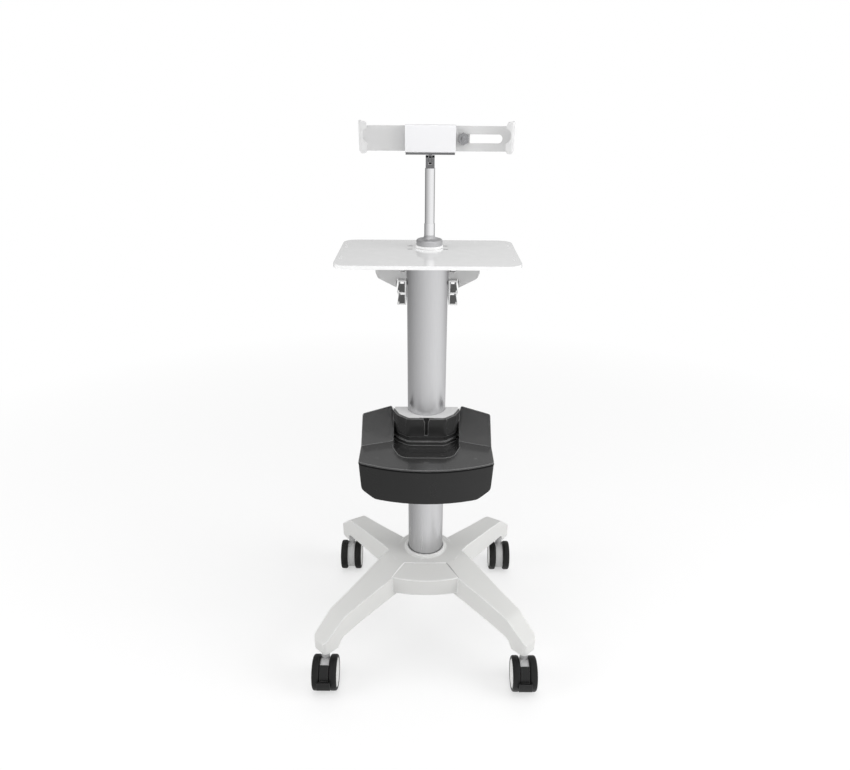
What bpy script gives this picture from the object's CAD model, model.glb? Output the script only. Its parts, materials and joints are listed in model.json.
import json
import math

import bmesh
import bpy
from mathutils import Matrix, Vector


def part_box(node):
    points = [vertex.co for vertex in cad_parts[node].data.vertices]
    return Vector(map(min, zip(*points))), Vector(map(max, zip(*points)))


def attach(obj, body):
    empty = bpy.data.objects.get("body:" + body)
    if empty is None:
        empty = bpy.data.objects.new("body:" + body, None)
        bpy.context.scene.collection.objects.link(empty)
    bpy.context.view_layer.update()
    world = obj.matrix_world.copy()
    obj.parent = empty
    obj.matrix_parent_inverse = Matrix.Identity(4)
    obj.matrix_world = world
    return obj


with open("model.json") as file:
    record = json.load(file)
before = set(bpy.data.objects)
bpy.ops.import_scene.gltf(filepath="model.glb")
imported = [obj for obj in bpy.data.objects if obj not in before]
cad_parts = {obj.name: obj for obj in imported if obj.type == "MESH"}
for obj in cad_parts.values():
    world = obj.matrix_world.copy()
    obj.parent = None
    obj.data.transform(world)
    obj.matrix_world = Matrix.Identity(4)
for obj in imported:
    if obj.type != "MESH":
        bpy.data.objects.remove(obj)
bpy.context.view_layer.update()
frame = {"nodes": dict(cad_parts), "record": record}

NODES = frame["nodes"]
COLUMN_Y = sum(corner[1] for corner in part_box("column_tube")) / 2

# Camera, from the fit to the photograph
IMAGE_W = 850
FOCAL_PX = 686.39
SENSOR_MM = 36.0
CAMERA_AT = (-0.0024, COLUMN_Y - 1.2725, 1.1464)
CAMERA_PITCH = math.radians(61.44)
CAMERA_ROLL = math.radians(0.4)
CAMERA_SHIFT_Y = 0.08
CAMERA_REACH = 50

# The white sweep round the stand: brightest to the front right, darker to the rear left
SWEEP_AZIMUTH = math.radians(53)
SWEEP_TO = (math.sin(SWEEP_AZIMUTH), -math.cos(SWEEP_AZIMUTH), 0.0)
SWEEP_MEAN = 0.72
SWEEP_SWING = 0.36
SOFT_LIGHT = 0.56

# Lamps: place, aim and size in metres, power in watts; each lights either matt surfaces or gloss
LAMPS = {
    "key": dict(at=(2.3, -0.8, 1.5), aim=(0, 0, 0.5), size=(1.6, 1.8), power=38),
    "fill": dict(at=(-2.3, -0.8, 1.4), aim=(0, 0, 0.45), size=(1.6, 1.8), power=26),
    "top": dict(at=(0.1, -0.9, 2.8), aim=(0, 0, 0.45), size=(2.0, 2.4), power=13),
    "gloss_card": dict(at=(0.0, -0.7, 2.6), aim=(0, 0, 0.5), size=(2.2, 1.8), power=4, gloss=True),
}

# The floor is lit near the stand and fades into the white background further out
FLOOR_HALF = 12.0
FLOOR_GREY = 0.97
FLOOR_ROUGH = 0.6
FLOOR_SPECULAR = 0.2
FLOOR_WHITE_NEAR = 0.5
FLOOR_FADE_FROM = 0.5
FLOOR_FADE_TO = 2.2
FLOOR_IN_METAL = 0.85
# Far behind the stand the floor that metal shows is darker, which draws the edges of the post
FLOOR_REAR_FROM = 0.1
FLOOR_REAR_TO = 0.9
FLOOR_FAR_FROM = 2.2
FLOOR_FAR_TO = 4.0
FLOOR_REAR_LOSS = 0.8

# Rounding of the CAD edges
EDGE_ANGLE = math.radians(28)
FACET_ANGLE = math.radians(12.5)
WELD_MM = 0.002
BEVEL_STEPS = 3

# Rays of the edge looks, how far a normal turns where an edge begins and where it is full, the
# openness that tells an outer edge from an inner corner, and how many edge widths it looks round
LOOK_RAYS = 6
EDGE_TURN = (0.0015, 0.035)
EDGE_OPEN = (0.62, 0.85)
OPEN_WIDTHS = 2

# Noise lies mostly between these values; a rubbed edge is rubbed at least by this share
NOISE_SPAN = (0.3, 0.7)
LEAST_RUB = 0.6

# Rubbed edges: the share that is left of the own colour, and the pale tone that comes on top
THIN_PAINT = (0.1, 0.88)
RUBBED_PLASTIC = (0.7, 0.2)

# Sockets of a node that mixes colours; by name they can't be told from those for numbers
MIX_FACTOR, MIX_FIRST, MIX_SECOND = 0, 6, 7
MIX_RESULT = 2

# Grain directions: a small factor draws the pattern out along that axis
ALONG_Z = (1, 1, 0.02)
ALONG_Y = (1, 0.02, 1)
EVEN = (1, 1, 1)

# The lines round the base's ramp: rear and front corners as distances from the column's axis, half
# width of a line, the height above which it is drawn, and the tones of lit and shaded creases
RAMP_REAR_MM = (46.0, 62.0)
RAMP_FRONT_MM = (72.5, 101.0)
LINE_HALF_MM = 1.1
LINE_ABOVE_MM = 195.0
LIT_CREASE = 0.93
SHADED_CREASE = 0.4

# The tray's enamel: the slots' reach from the column's axis, the band of the side holes as depths
# from the side edge, its distance from the front and rear edges, the depth below the faces where
# slots and holes change colour, and the strength of the mirror
TRAY_SLOT_X_MM = (26.0, 39.0)
TRAY_SLOT_Y_MM = (2.0, 34.5)
TRAY_HOLE_BAND_MM = (14.0, 5.0)
TRAY_CORNER_MM = 30.0
TRAY_SKIN_MM = 0.15
TRAY_COAT_IOR = 1.8

# The collar is black behind the cable slot: half width of the patch, its depth before and behind
# the collar's front, and its distance below the collar's top
SLOT_PATCH_MM = (14.0, 6.0, 0.6)

# Height of the flange's disc and fillet below its polished neck, and of the change between them
FLANGE_DISC_MM = 17.0
FLANGE_BLEND_MM = 2.0

# Depth below a rail's outer faces at which its channels turn dark, and the further depth of its web
RAIL_SKIN_MM = 0.6
RAIL_WEB_MM = 1.5

# The rubber seal between the two box shells: how far its middle lies below the pan's rim, the least
# step along it, and its section (outwards, upwards) with a stem in the groove and a lip outside
SEAL_LEVEL_MM = 1.0
SEAL_STEP_MM = 1.0
SEAL_SECTION_MM = (
    (-0.1, -0.9), (1.25, -0.9), (1.3, -1.6), (1.7, -1.3), (1.85, 0.0),
    (1.7, 1.3), (1.3, 1.6), (1.25, 0.9), (-0.1, 0.9),
)

# The bead along the rim of the deck's recess: the deck's height above the pan's rim, the depth of
# the cut that finds the rim, the bead's rear end before the column's axis, the least step along it,
# and its section (outwards, upwards)
DECK_ABOVE_PAN_MM = 4.0
BEAD_CUT_MM = 1.0
BEAD_REAR_MM = 70.0
BEAD_STEP_MM = 1.5
BEAD_SECTION_MM = (
    (-0.2, -2.0), (1.9, -2.0), (1.9, 0.1), (1.5, 0.55), (0.8, 0.75), (0.1, 0.55), (-0.2, 0.1),
)


def grey(value):
    return (value, value, value)


def paled(color, share, tone):
    return [c * share + tone for c in color]


BLACK = grey(0.008)
WHITE = grey(1)
POLISHED = (0.86, 0.86, 0.87)
ALUMINIUM = grey(0.68)


class Nodes:
    """Short calls for building a node tree."""

    def __init__(self, tree):
        self.tree = tree

    def add(self, kind, **inputs):
        node = self.tree.nodes.new(kind)
        for key, value in inputs.items():
            node.inputs[key.replace("_", " ")].default_value = value
        return node

    def link(self, start, end):
        self.tree.links.new(start, end)

    def fill(self, node, values):
        """Each value, from the first input on, is a constant or another node's output."""
        for socket, value in zip(node.inputs, values):
            if isinstance(value, bpy.types.NodeSocket):
                self.link(value, socket)
            else:
                socket.default_value = value

    def math(self, operation, *values):
        node = self.add("ShaderNodeMath")
        node.operation = operation
        self.fill(node, values)
        return node.outputs[0]

    def vector_math(self, operation, *values):
        node = self.add("ShaderNodeVectorMath")
        node.operation = operation
        self.fill(node, values)
        return node.outputs["Vector" if operation == "NORMALIZE" else "Value"]

    def map(self, value, from_min, from_max, to_min, to_max):
        node = self.add("ShaderNodeMapRange")
        self.fill(node, (value, from_min, from_max, to_min, to_max))
        return node.outputs["Result"]

    def mix_shader(self, fac, first, second):
        node = self.add("ShaderNodeMixShader")
        self.fill(node, (fac, first, second))
        return node.outputs[0]

    def split(self, vector):
        node = self.add("ShaderNodeSeparateXYZ")
        self.link(vector, node.inputs[0])
        return node.outputs

    def between(self, value, low, high):
        """1 where a value lies between two limits, else 0."""
        over = self.math("GREATER_THAN", value, low)
        return self.math("MULTIPLY", over, self.math("LESS_THAN", value, high))

    def seen_directly(self, path):
        """1 for rays from the camera, also through glass, else 0."""
        return self.math("MAXIMUM", path["Is Camera Ray"], path["Is Transmission Ray"])

    def sweep(self, direction):
        """Strength of the white sweep in a direction, and that direction as a unit vector."""
        unit = self.vector_math("NORMALIZE", direction)
        facing = self.vector_math("DOT_PRODUCT", unit, SWEEP_TO)
        return self.math("MULTIPLY_ADD", facing, SWEEP_SWING, SWEEP_MEAN), unit


class Shader(Nodes):
    """A principled material that varies in the object's own coordinates."""

    def __init__(self, name, color, rough, metal=0.0, coat=0.0, coat_rough=0.05, specular=0.5):
        self.mat = bpy.data.materials.new(name)
        self.mat.use_nodes = True
        super().__init__(self.mat.node_tree)
        self.bsdf = self.tree.nodes["Principled BSDF"]
        self.place = self.add("ShaderNodeTexCoord").outputs["Object"]
        self.color = color
        self.rough = rough
        self.set("Roughness", rough)
        self.set("Metallic", metal)
        self.set("Coat Weight", coat)
        self.set("Coat Roughness", coat_rough)
        self.set("Specular IOR Level", specular)
        self.shade = None
        self.normal = None

    def set(self, socket, value):
        self.bsdf.inputs[socket].default_value = value

    def drive(self, socket, output):
        self.link(output, self.bsdf.inputs[socket])

    def noise(self, scale, detail=2.0, stretch=EVEN):
        mapping = self.add("ShaderNodeMapping", Scale=stretch)
        self.link(self.place, mapping.inputs["Vector"])
        tex = self.add("ShaderNodeTexNoise", Scale=scale, Detail=detail)
        self.link(mapping.outputs["Vector"], tex.inputs["Vector"])
        return tex.outputs["Fac"]

    def tint(self, fac, spread):
        """The colour runs from darker to lighter by the spread."""
        ramp = self.add("ShaderNodeValToRGB")
        low, high = ramp.color_ramp.elements
        low.position, high.position = NOISE_SPAN
        low.color = (*[c * (1 - spread) for c in self.color], 1)
        high.color = (*[min(1, c * (1 + spread)) for c in self.color], 1)
        self.link(fac, ramp.inputs["Fac"])
        self.shade_from(ramp.outputs["Color"])

    def shade_from(self, output):
        self.shade = output
        self.drive("Base Color", output)

    def blend_to(self, fac, color):
        """The colour so far goes over to another one by a factor."""
        mix = self.add("ShaderNodeMix")
        mix.data_type = "RGBA"
        self.link(fac, mix.inputs[MIX_FACTOR])
        self.link(self.shade, mix.inputs[MIX_FIRST])
        mix.inputs[MIX_SECOND].default_value = (*color, 1)
        self.shade_from(mix.outputs[MIX_RESULT])

    def openness(self, reach_mm):
        """How open the surface is within a reach, by the object's own shape."""
        ao = self.add("ShaderNodeAmbientOcclusion", Distance=reach_mm / 1000)
        ao.only_local = True
        ao.samples = LOOK_RAYS
        return ao.outputs["AO"]

    def soft_edges(self, radius_mm):
        """Edges shade as if they were rounded, which draws a line of light along them."""
        bevel = self.add("ShaderNodeBevel", Radius=radius_mm / 1000)
        bevel.samples = LOOK_RAYS
        self.normal = bevel.outputs["Normal"]

    def worn_edges(self, reach_mm, color, amount, creases=False):
        """Outer edges, or creases too, are rubbed towards a colour; called after soft_edges."""
        flat = self.add("ShaderNodeNewGeometry").outputs["Normal"]
        turn = self.math("SUBTRACT", 1.0, self.vector_math("DOT_PRODUCT", self.normal, flat))
        edge = self.map(turn, *EDGE_TURN, 0.0, amount)
        if not creases:
            outer = self.map(self.openness(reach_mm * OPEN_WIDTHS), *EDGE_OPEN, 0.0, 1.0)
            edge = self.math("MULTIPLY", edge, outer)
        patchy = self.map(self.noise(scale=70, detail=3), *NOISE_SPAN, LEAST_RUB, 1.0)
        self.blend_to(self.math("MULTIPLY", edge, patchy), color)

    def inside_box(self, low, high):
        """1 where a point lies inside a box, else 0."""
        fac = 1.0
        for value, start, end in zip(self.split(self.place), low, high):
            fac = self.math("MULTIPLY", self.between(value, start, end), fac)
        return fac

    def along_line(self, start, end, half_width, above):
        """1 on a strip along a line in the plan, on surfaces that lie above a height, else 0."""
        run = Vector(end) - Vector(start)
        along, across = run.normalized(), run.normalized().orthogonal()
        fac = self.math("GREATER_THAN", self.split(self.place)["Z"], above)
        limits = ((along, 0.0, run.length), (across, -half_width, half_width))
        for axis, low, high in limits:
            far = self.vector_math("DOT_PRODUCT", self.place, (*axis, 0))
            far = self.math("SUBTRACT", far, axis.dot(Vector(start)))
            fac = self.math("MULTIPLY", fac, self.between(far, low, high))
        return fac

    def vary_rough(self, fac, spread):
        rough = self.map(fac, *NOISE_SPAN, self.rough - spread, self.rough + spread)
        self.drive("Roughness", rough)

    def relief(self, fac, depth_mm, strength):
        bump = self.add("ShaderNodeBump", Strength=strength, Distance=depth_mm / 1000)
        self.link(fac, bump.inputs["Height"])
        if self.normal:
            self.link(self.normal, bump.inputs["Normal"])
        self.normal = bump.outputs["Normal"]
        self.drive("Normal", self.normal)


def powder_coat(name, color, rough, wear=0.0, reach_mm=1.0, lines=()):
    """Sprayed and baked paint: orange peel, faint clouding, edges where it has pulled thin."""
    s = Shader(name, color, rough)
    s.soft_edges(reach_mm)
    s.tint(s.noise(scale=9, detail=3), spread=0.015)
    if wear:
        s.worn_edges(reach_mm, paled(color, *THIN_PAINT), wear)
    for start, end, tone in lines:
        strip = s.along_line(start, end, LINE_HALF_MM / 1000, LINE_ABOVE_MM / 1000)
        s.blend_to(strip, grey(tone))
    s.vary_rough(s.noise(scale=60, detail=3), spread=0.05)
    s.relief(s.noise(scale=420), depth_mm=0.02, strength=0.12)
    s.relief(s.noise(scale=1600), depth_mm=0.012, strength=0.2)
    return s.mat


def tray_gloss(name, color, rough):
    """Glossy enamel that mirrors the post; the slots are black inside and the side holes white."""
    low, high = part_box("tray_plate")
    skin, corner = TRAY_SKIN_MM / 1000, TRAY_CORNER_MM / 1000
    heights = low[2] + skin, high[2] - skin
    slot_y = [COLUMN_Y + y / 1000 for y in TRAY_SLOT_Y_MM]
    hole_y = low[1] + corner, high[1] - corner
    s = Shader(name, color, rough, coat=1.0, coat_rough=0.03)
    s.set("Coat IOR", TRAY_COAT_IOR)
    s.tint(s.noise(scale=9, detail=3), spread=0.01)
    for side in (-1, 1):
        slot_x = sorted(side * x / 1000 for x in TRAY_SLOT_X_MM)
        hole_x = sorted(side * (high[0] - x / 1000) for x in TRAY_HOLE_BAND_MM)
        s.blend_to(s.inside_box(*zip(slot_x, slot_y, heights)), BLACK)
        s.blend_to(s.inside_box(*zip(hole_x, hole_y, heights)), WHITE)
    s.vary_rough(s.noise(scale=60, detail=3), spread=0.04)
    s.relief(s.noise(scale=420), depth_mm=0.02, strength=0.02)
    return s.mat


def moulding(name, color, rough, coat=0.0, wear=0.0, reach_mm=1.0, specular=0.5, patch=None):
    """Moulded plastic: fine grain, smudged gloss, edges rubbed pale, a black patch inside a box."""
    s = Shader(name, color, rough, coat=coat, coat_rough=0.06, specular=specular)
    s.soft_edges(reach_mm)
    s.tint(s.noise(scale=14, detail=3), spread=0.04)
    if wear:
        s.worn_edges(reach_mm, paled(color, *RUBBED_PLASTIC), wear, creases=True)
    if patch:
        s.blend_to(s.inside_box(*patch), BLACK)
    s.vary_rough(s.noise(scale=26, detail=4), spread=0.06)
    s.relief(s.noise(scale=1400), depth_mm=0.012, strength=0.2)
    return s.mat


def drawn_metal(name, color, rough, stretch, spread=0.03, metal=1.0, dark_box=None):
    """Metal with fine lines along the stretched axis, and black inside a box."""
    s = Shader(name, color, rough, metal=metal)
    lines = s.noise(scale=1800, detail=3, stretch=stretch)
    s.tint(lines, spread)
    if dark_box:
        s.blend_to(s.inside_box(*dark_box), BLACK)
    s.vary_rough(s.noise(scale=40, detail=3, stretch=stretch), spread=0.04)
    s.relief(lines, depth_mm=0.006, strength=0.12)
    return s.mat


def turned_flange(name, color, rough, neck_color, neck_rough):
    """A turned disc whose neck is polished like the post that stands in it."""
    s = Shader(name, color, rough, metal=1.0)
    s.tint(s.noise(scale=1800, detail=3), spread=0.03)
    height = s.split(s.place)["Z"]
    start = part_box("post_flange")[0][2] + FLANGE_DISC_MM / 1000
    end = start + FLANGE_BLEND_MM / 1000
    s.blend_to(s.map(height, start, end, 0.0, 1.0), neck_color)
    s.drive("Roughness", s.map(height, start, end, rough, neck_rough))
    s.relief(s.noise(scale=1800, detail=3, stretch=ALONG_Z), depth_mm=0.006, strength=0.12)
    return s.mat


def rubber(name, color, rough, specular=0.3):
    """Black rubber: dull, a little dusty, finely rough."""
    s = Shader(name, color, rough, specular=specular)
    s.tint(s.noise(scale=30, detail=4), spread=0.25)
    s.vary_rough(s.noise(scale=200, detail=3), spread=0.08)
    s.relief(s.noise(scale=1100, detail=3), depth_mm=0.03, strength=0.3)
    return s.mat


def ramp_lines():
    """The creases at the rear and the left of the ramp, which are lit, and the shaded right one."""
    (x0, y0), (x1, y1) = (Vector(corner) / 1000 for corner in (RAMP_REAR_MM, RAMP_FRONT_MM))
    rear, front = COLUMN_Y - y0, COLUMN_Y - y1
    return (
        ((-x0, rear), (x0, rear), LIT_CREASE),
        ((-x0, rear), (-x1, front), LIT_CREASE),
        ((x0, rear), (x1, front), SHADED_CREASE),
    )


def slot_patch():
    """The box of the collar's black patch, as two corners."""
    low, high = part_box("box_collar")
    half, deep, below = Vector(SLOT_PATCH_MM) / 1000
    return (-half, low[1] - deep, low[2] - deep), (half, low[1] + deep, high[2] - below)


def rail_channels(side):
    """The box of a rail's dark channels, as two corners; outer faces, lips and web stay bright."""
    low, high = (Vector(corner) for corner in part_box("rail_" + side))
    skin = Vector(grey(RAIL_SKIN_MM)) / 1000
    web = Vector((RAIL_WEB_MM / 1000, 0, 0))
    return (low + web + skin, high - skin) if side == "right" else (low + skin, high - web - skin)


def rail_look(side):
    return dict(
        color=ALUMINIUM, rough=0.34, stretch=ALONG_Y, metal=0.0, dark_box=rail_channels(side)
    )


LOOKS = {
    "base_paint": (powder_coat, dict(
        color=(0.65, 0.65, 0.637), rough=0.36, wear=1.0, reach_mm=4.0, lines=ramp_lines()
    )),
    "bracket_paint": (powder_coat, dict(color=grey(0.52), rough=0.4, wear=0.5)),
    "tray_paint": (tray_gloss, dict(color=grey(0.94), rough=0.22)),
    "column_silver": (drawn_metal, dict(color=(0.62, 0.62, 0.63), rough=0.3, stretch=ALONG_Z)),
    "rail_left_aluminium": (drawn_metal, rail_look("left")),
    "rail_right_aluminium": (drawn_metal, rail_look("right")),
    "steel": (drawn_metal, dict(color=(0.52, 0.52, 0.54), rough=0.28, stretch=EVEN)),
    "dark_steel": (drawn_metal, dict(color=(0.2, 0.2, 0.205), rough=0.26, stretch=ALONG_Z)),
    "polished_steel": (drawn_metal, dict(color=POLISHED, rough=0.1, stretch=ALONG_Z, spread=0.015)),
    "flange_metal": (turned_flange, dict(
        color=(0.56, 0.56, 0.57), rough=0.38, neck_color=POLISHED, neck_rough=0.1
    )),
    "white_plastic": (moulding, dict(color=grey(0.82), rough=0.38)),
    "holder_white": (powder_coat, dict(color=(0.84, 0.84, 0.855), rough=0.34)),
    "arm_metal": (powder_coat, dict(color=grey(0.69), rough=0.34, wear=0.4, reach_mm=0.6)),
    "box_black": (moulding, dict(color=grey(0.028), rough=0.2, coat=0.6, wear=0.9, reach_mm=2.2)),
    "box_black_low": (moulding, dict(color=grey(0.006), rough=0.32, specular=0.42, reach_mm=2.2)),
    "caster_grey": (moulding, dict(color=grey(0.52), rough=0.42)),
    "tyre_black": (rubber, dict(color=grey(0.007), rough=0.5)),
    "hub_white": (moulding, dict(color=(0.66, 0.66, 0.65), rough=0.42)),
    "pad_plastic": (moulding, dict(color=grey(0.92), rough=0.38)),
    "collar_plastic": (moulding, dict(color=grey(0.72), rough=0.38, patch=slot_patch())),
    "nut_steel": (drawn_metal, dict(color=(0.33, 0.33, 0.34), rough=0.22, stretch=EVEN)),
    "trim_plastic": (moulding, dict(color=grey(0.11), rough=0.3)),
    "seal_rubber": (rubber, dict(color=grey(0.004), rough=0.6, specular=0.1)),
    "pedal_black": (moulding, dict(color=BLACK, rough=0.45, specular=0.35, wear=0.3)),
}
MATERIALS = {name: make(name, **look) for name, (make, look) in LOOKS.items()}

# Nodes whose finish differs from the rest of their slot
OWN_FINISH = {
    "box_collar": "collar_plastic", "post_pad": "pad_plastic", "knuckle_tongue": "dark_steel",
    "clamp_nut": "nut_steel", "clamp_bolt": "nut_steel",
    "rail_left": "rail_left_aluminium", "rail_right": "rail_right_aluminium",
}

# Edge rounding in mm by node; a caster's nodes are found by the end of their names
EDGE_MM = {
    "column_tube": 0.5, "tray_bracket": 1.2, "tray_plate": 1.5, "box_collar": 1.0,
    "collar_strap": 1.0, "holder_sleeve": 0.9, "post_flange": 0.5, "post_pad": 1.2,
    "post_tube": 0.4, "knuckle_fork": 0.6, "knuckle_tongue": 0.4, "rail_left": 0.25,
    "rail_right": 0.25, "clamp_nut": 0.6, "clamp_bolt": 0.4,
}
CASTER_EDGE_MM = {"housing": 1.2, "pedal": 1.0}
SMALL_EDGE_MM = 0.3
# Castings and shells with fine steps, and the nodes whose edges are rounded in the material alone
STEPPED = ("base_casting", "box_cover", "box_pan")
UNBEVELLED = (*STEPPED, "left_arm", "right_arm")
# Nodes that stand so close to the column that they would black out its gloss
OUT_OF_GLOSS = ("rail_left", "rail_right", "tray_bracket")


def make_camera():
    data = bpy.data.cameras.new("camera")
    data.sensor_width = SENSOR_MM
    data.lens = FOCAL_PX / IMAGE_W * SENSOR_MM
    data.shift_y = CAMERA_SHIFT_Y
    data.clip_end = CAMERA_REACH
    cam = bpy.data.objects.new("camera", data)
    turn = Matrix.Rotation(CAMERA_PITCH, 4, "X") @ Matrix.Rotation(CAMERA_ROLL, 4, "Z")
    cam.matrix_world = Matrix.Translation(CAMERA_AT) @ turn
    bpy.context.collection.objects.link(cam)
    bpy.context.scene.camera = cam


def make_lamp(name, at, aim, size, power, gloss=False):
    data = bpy.data.lights.new(name, "AREA")
    data.shape = "RECTANGLE"
    data.size, data.size_y = size
    data.energy = power
    obj = bpy.data.objects.new(name, data)
    obj.location = at
    obj.visible_diffuse = not gloss
    obj.visible_glossy = gloss
    obj.rotation_euler = (Vector(aim) - Vector(at)).to_track_quat("-Z", "Y").to_euler()
    bpy.context.collection.objects.link(obj)


def make_world():
    """White to the camera, the sweep to metal, and an even soft light on everything else."""
    world = bpy.data.worlds.new("studio")
    bpy.context.scene.world = world
    world.use_nodes = True
    world.node_tree.nodes.clear()
    n = Nodes(world.node_tree)
    path = n.add("ShaderNodeLightPath").outputs
    soft, sweep, white = (
        n.add("ShaderNodeBackground", Color=(*WHITE, 1), Strength=strength)
        for strength in (SOFT_LIGHT, SWEEP_MEAN, 1.0)
    )
    strength, _ = n.sweep(n.add("ShaderNodeTexCoord").outputs["Generated"])
    n.link(strength, sweep.inputs["Strength"])
    lit = n.mix_shader(path["Is Glossy Ray"], soft.outputs[0], sweep.outputs[0])
    out = n.add("ShaderNodeOutputWorld")
    n.link(n.mix_shader(n.seen_directly(path), lit, white.outputs[0]), out.inputs["Surface"])


def make_floor():
    """A pale floor that keeps the shadow near the stand and runs into the white background."""
    h = FLOOR_HALF
    mesh = bpy.data.meshes.new("floor")
    mesh.from_pydata([(-h, -h, 0), (h, -h, 0), (h, h, 0), (-h, h, 0)], [], [(0, 1, 2, 3)])
    floor = bpy.data.objects.new("floor", mesh)
    bpy.context.collection.objects.link(floor)
    s = Shader("floor", grey(FLOOR_GREY), FLOOR_ROUGH, specular=FLOOR_SPECULAR)
    s.tint(s.noise(scale=3), spread=0.003)
    path = s.add("ShaderNodeLightPath").outputs
    away = s.vector_math("LENGTH", s.place)
    fade = s.map(away, FLOOR_FADE_FROM, FLOOR_FADE_TO, FLOOR_WHITE_NEAR, 1.0)
    white = s.add("ShaderNodeEmission", Strength=1.0).outputs[0]
    shown = s.math("MULTIPLY", s.seen_directly(path), fade)
    to_camera = s.mix_shader(shown, s.bsdf.outputs[0], white)
    strength, direction = s.sweep(s.place)
    rearward = s.split(direction)["Y"]
    rear = s.map(rearward, FLOOR_REAR_FROM, FLOOR_REAR_TO, 0.0, FLOOR_REAR_LOSS)
    far = s.map(away, FLOOR_FAR_FROM, FLOOR_FAR_TO, 0.0, 1.0)
    left_over = s.math("SUBTRACT", 1.0, s.math("MULTIPLY", rear, far))
    sweep = s.add("ShaderNodeEmission")
    s.link(s.math("MULTIPLY", strength, left_over), sweep.inputs["Strength"])
    in_metal = s.math("MULTIPLY", path["Is Glossy Ray"], FLOOR_IN_METAL)
    surface = s.tree.nodes["Material Output"].inputs["Surface"]
    s.link(s.mix_shader(in_metal, to_camera, sweep.outputs[0]), surface)
    mesh.materials.append(s.mat)


def edge_of(name):
    if name in EDGE_MM:
        return EDGE_MM[name]
    return CASTER_EDGE_MM.get(name.rsplit("_", 1)[-1], SMALL_EDGE_MM)


def smoothing(name, limit):
    """A node group that shades smoothly across edges up to an angle, not by imported normals."""
    group = bpy.data.node_groups.new(name, "GeometryNodeTree")
    for way in ("INPUT", "OUTPUT"):
        group.interface.new_socket("Geometry", in_out=way, socket_type="NodeSocketGeometry")
    n = Nodes(group)
    angle = n.add("GeometryNodeInputMeshEdgeAngle").outputs["Unsigned Angle"]
    chain = [n.add("NodeGroupInput"), n.add("GeometryNodeRemoveAttribute", Name="custom_normal")]
    for domain, smooth in (("FACE", True), ("EDGE", True), ("EDGE", False)):
        shade = n.add("GeometryNodeSetShadeSmooth", Shade_Smooth=smooth)
        shade.domain = domain
        chain.append(shade)
    n.link(n.math("GREATER_THAN", angle, limit), chain[-1].inputs["Selection"])
    chain.append(n.add("NodeGroupOutput"))
    for before, after in zip(chain, chain[1:]):
        n.link(before.outputs["Geometry"], after.inputs["Geometry"])
    return group


def shade_by_angle(obj, group):
    weld = obj.modifiers.new("weld", "WELD")
    weld.merge_threshold = WELD_MM / 1000
    obj.modifiers.new("smoothing", "NODES").node_group = group


def round_edges(obj, width_mm):
    bevel = obj.modifiers.new("rounding", "BEVEL")
    bevel.width = width_mm / 1000
    bevel.segments = BEVEL_STEPS
    bevel.limit_method = "ANGLE"
    bevel.angle_limit = EDGE_ANGLE
    bevel.use_clamp_overlap = True
    bevel.harden_normals = True
    bevel.miter_outer = "MITER_ARC"


def dress_nodes():
    slots = {p["node"]: p["material_slot"] for p in frame["record"]["subparts"]}
    by_edge = smoothing("by_edge", EDGE_ANGLE)
    by_facet = smoothing("by_facet", FACET_ANGLE)
    for name, obj in NODES.items():
        obj.data.materials.clear()
        finish = OWN_FINISH[name] if name in OWN_FINISH else slots[name]
        obj.data.materials.append(MATERIALS[finish])
        shade_by_angle(obj, by_facet if name in STEPPED else by_edge)
        if name not in UNBEVELLED:
            round_edges(obj, edge_of(name))
        obj.visible_glossy = name not in OUT_OF_GLOSS


def length_of(line):
    return sum((b - a).length for a, b in zip(line, line[1:]))


def place_in_plan(vert):
    return vert.co.x, vert.co.y


def section_loops(obj, height):
    """The closed lines in which a level plane cuts a node, each as points, the longest first."""
    bm = bmesh.new()
    bm.from_mesh(obj.data)
    bmesh.ops.remove_doubles(bm, verts=bm.verts, dist=WELD_MM / 1000)
    geom = bm.verts[:] + bm.edges[:] + bm.faces[:]
    level = dict(plane_co=(0, 0, height), plane_no=(0, 0, 1))
    bmesh.ops.bisect_plane(bm, geom=geom, **level, clear_inner=True, clear_outer=True)
    bmesh.ops.remove_doubles(bm, verts=bm.verts, dist=WELD_MM / 1000)
    loops, left = [], set(bm.verts)
    while left:
        vert = min(left, key=place_in_plan)
        loop = []
        while vert is not None:
            left.discard(vert)
            loop.append(vert.co.copy())
            nexts = [e.other_vert(vert) for e in vert.link_edges if e.other_vert(vert) in left]
            vert = min(nexts, key=place_in_plan) if nexts else None
        loops.append(loop)
    bm.free()
    return sorted(loops, key=length_of, reverse=True)


def anticlockwise(loop):
    area = sum(a.x * b.y - b.x * a.y for a, b in zip(loop, loop[1:] + loop[:1]))
    return loop if area > 0 else loop[::-1]


def spaced(line, step):
    """The points of a line that are at least a step apart, with its two ends."""
    kept = [line[0]]
    for point in line[1:-1]:
        if (point - kept[-1]).length >= step and (point - line[-1]).length >= step:
            kept.append(point)
    return kept + [line[-1]]


def side_normals(line, closed):
    """Unit normals of a line in the plan, to the right of its run."""
    n = len(line)
    normals = []
    for i in range(n):
        before = line[i - 1] if closed or i else line[i]
        after = line[(i + 1) % n] if closed or i < n - 1 else line[i]
        along = (line[i] - before).normalized() + (after - line[i]).normalized()
        normals.append(Vector((along.y, -along.x, 0)).normalized())
    return normals


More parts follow.
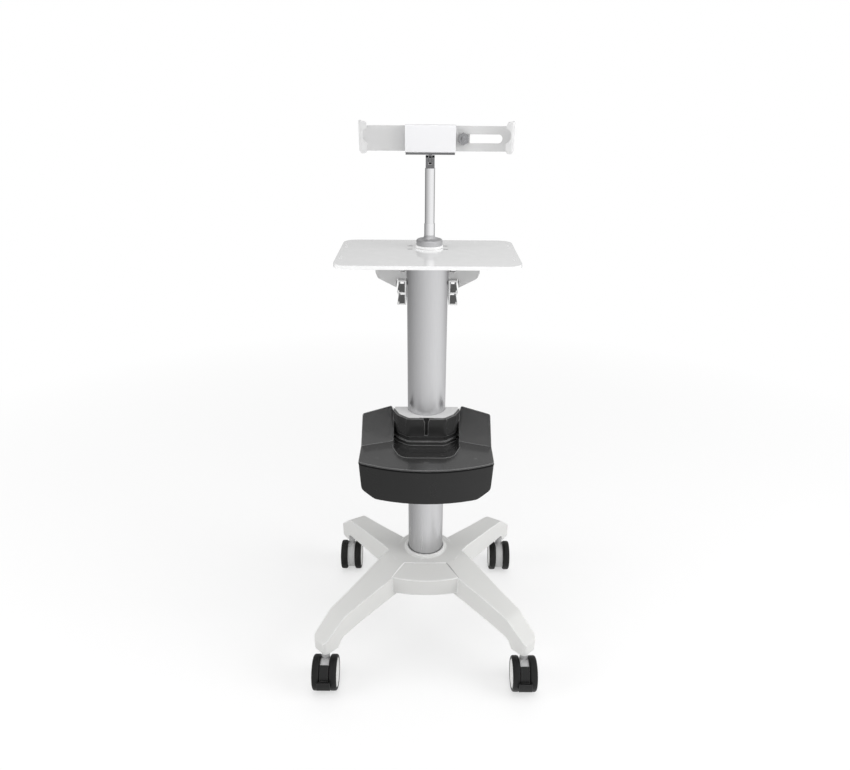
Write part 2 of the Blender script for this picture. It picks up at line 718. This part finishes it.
def swept_piece(name, line, level, section_mm, closed, finish):
    """A strip of one section along a level line that runs anticlockwise."""
    k, n = len(section_mm), len(line)
    verts, faces = [], []
    for point, normal in zip(line, side_normals(line, closed)):
        for out, up in section_mm:
            place = point + normal * out / 1000
            verts.append((place.x, place.y, level + up / 1000))
    for i in range(n if closed else n - 1):
        for j in range(k):
            here, after = i * k, (i + 1) % n * k
            faces.append((here + j, after + j, after + (j + 1) % k, here + (j + 1) % k))
    if not closed:
        faces += [tuple(range(k)), tuple(range((n - 1) * k, n * k))]
    mesh = bpy.data.meshes.new(name)
    mesh.from_pydata(verts, [], faces)
    bm = bmesh.new()
    bm.from_mesh(mesh)
    bmesh.ops.recalc_face_normals(bm, faces=bm.faces)
    bm.to_mesh(mesh)
    bm.free()
    piece = bpy.data.objects.new(name, mesh)
    bpy.context.collection.objects.link(piece)
    mesh.materials.append(MATERIALS[finish])
    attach(piece, "stand")


def make_seal():
    """The dark line between the two shells of the box."""
    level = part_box("box_pan")[1][2] - SEAL_LEVEL_MM / 1000
    loop = anticlockwise(section_loops(NODES["box_pan"], level)[0])
    line = spaced(loop, SEAL_STEP_MM / 1000)
    swept_piece("box_seal", line, level, SEAL_SECTION_MM, True, "seal_rubber")


def make_recess_bead():
    """The light line on the rim of the deck's recess, the inner loop that crosses the middle."""
    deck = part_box("box_pan")[1][2] + DECK_ABOVE_PAN_MM / 1000
    inner = section_loops(NODES["box_cover"], deck - BEAD_CUT_MM / 1000)[1:]
    rim = next(loop for loop in inner if min(p.x for p in loop) < 0 < max(p.x for p in loop))
    rim = anticlockwise(rim)
    rear = COLUMN_Y - BEAD_REAR_MM / 1000
    ahead = [p.y < rear for p in rim]
    start = next(i for i in range(len(rim)) if ahead[i] and not ahead[i - 1])
    turned = rim[start:] + rim[:start]
    line = spaced([p for p in turned if p.y < rear], BEAD_STEP_MM / 1000)
    swept_piece("recess_bead", line, deck, BEAD_SECTION_MM, False, "trim_plastic")


make_camera()
make_world()
make_floor()
for lamp_name, settings in LAMPS.items():
    make_lamp(lamp_name, **settings)
dress_nodes()
make_seal()
make_recess_bead()

bpy.context.scene.view_settings.view_transform = "Standard"
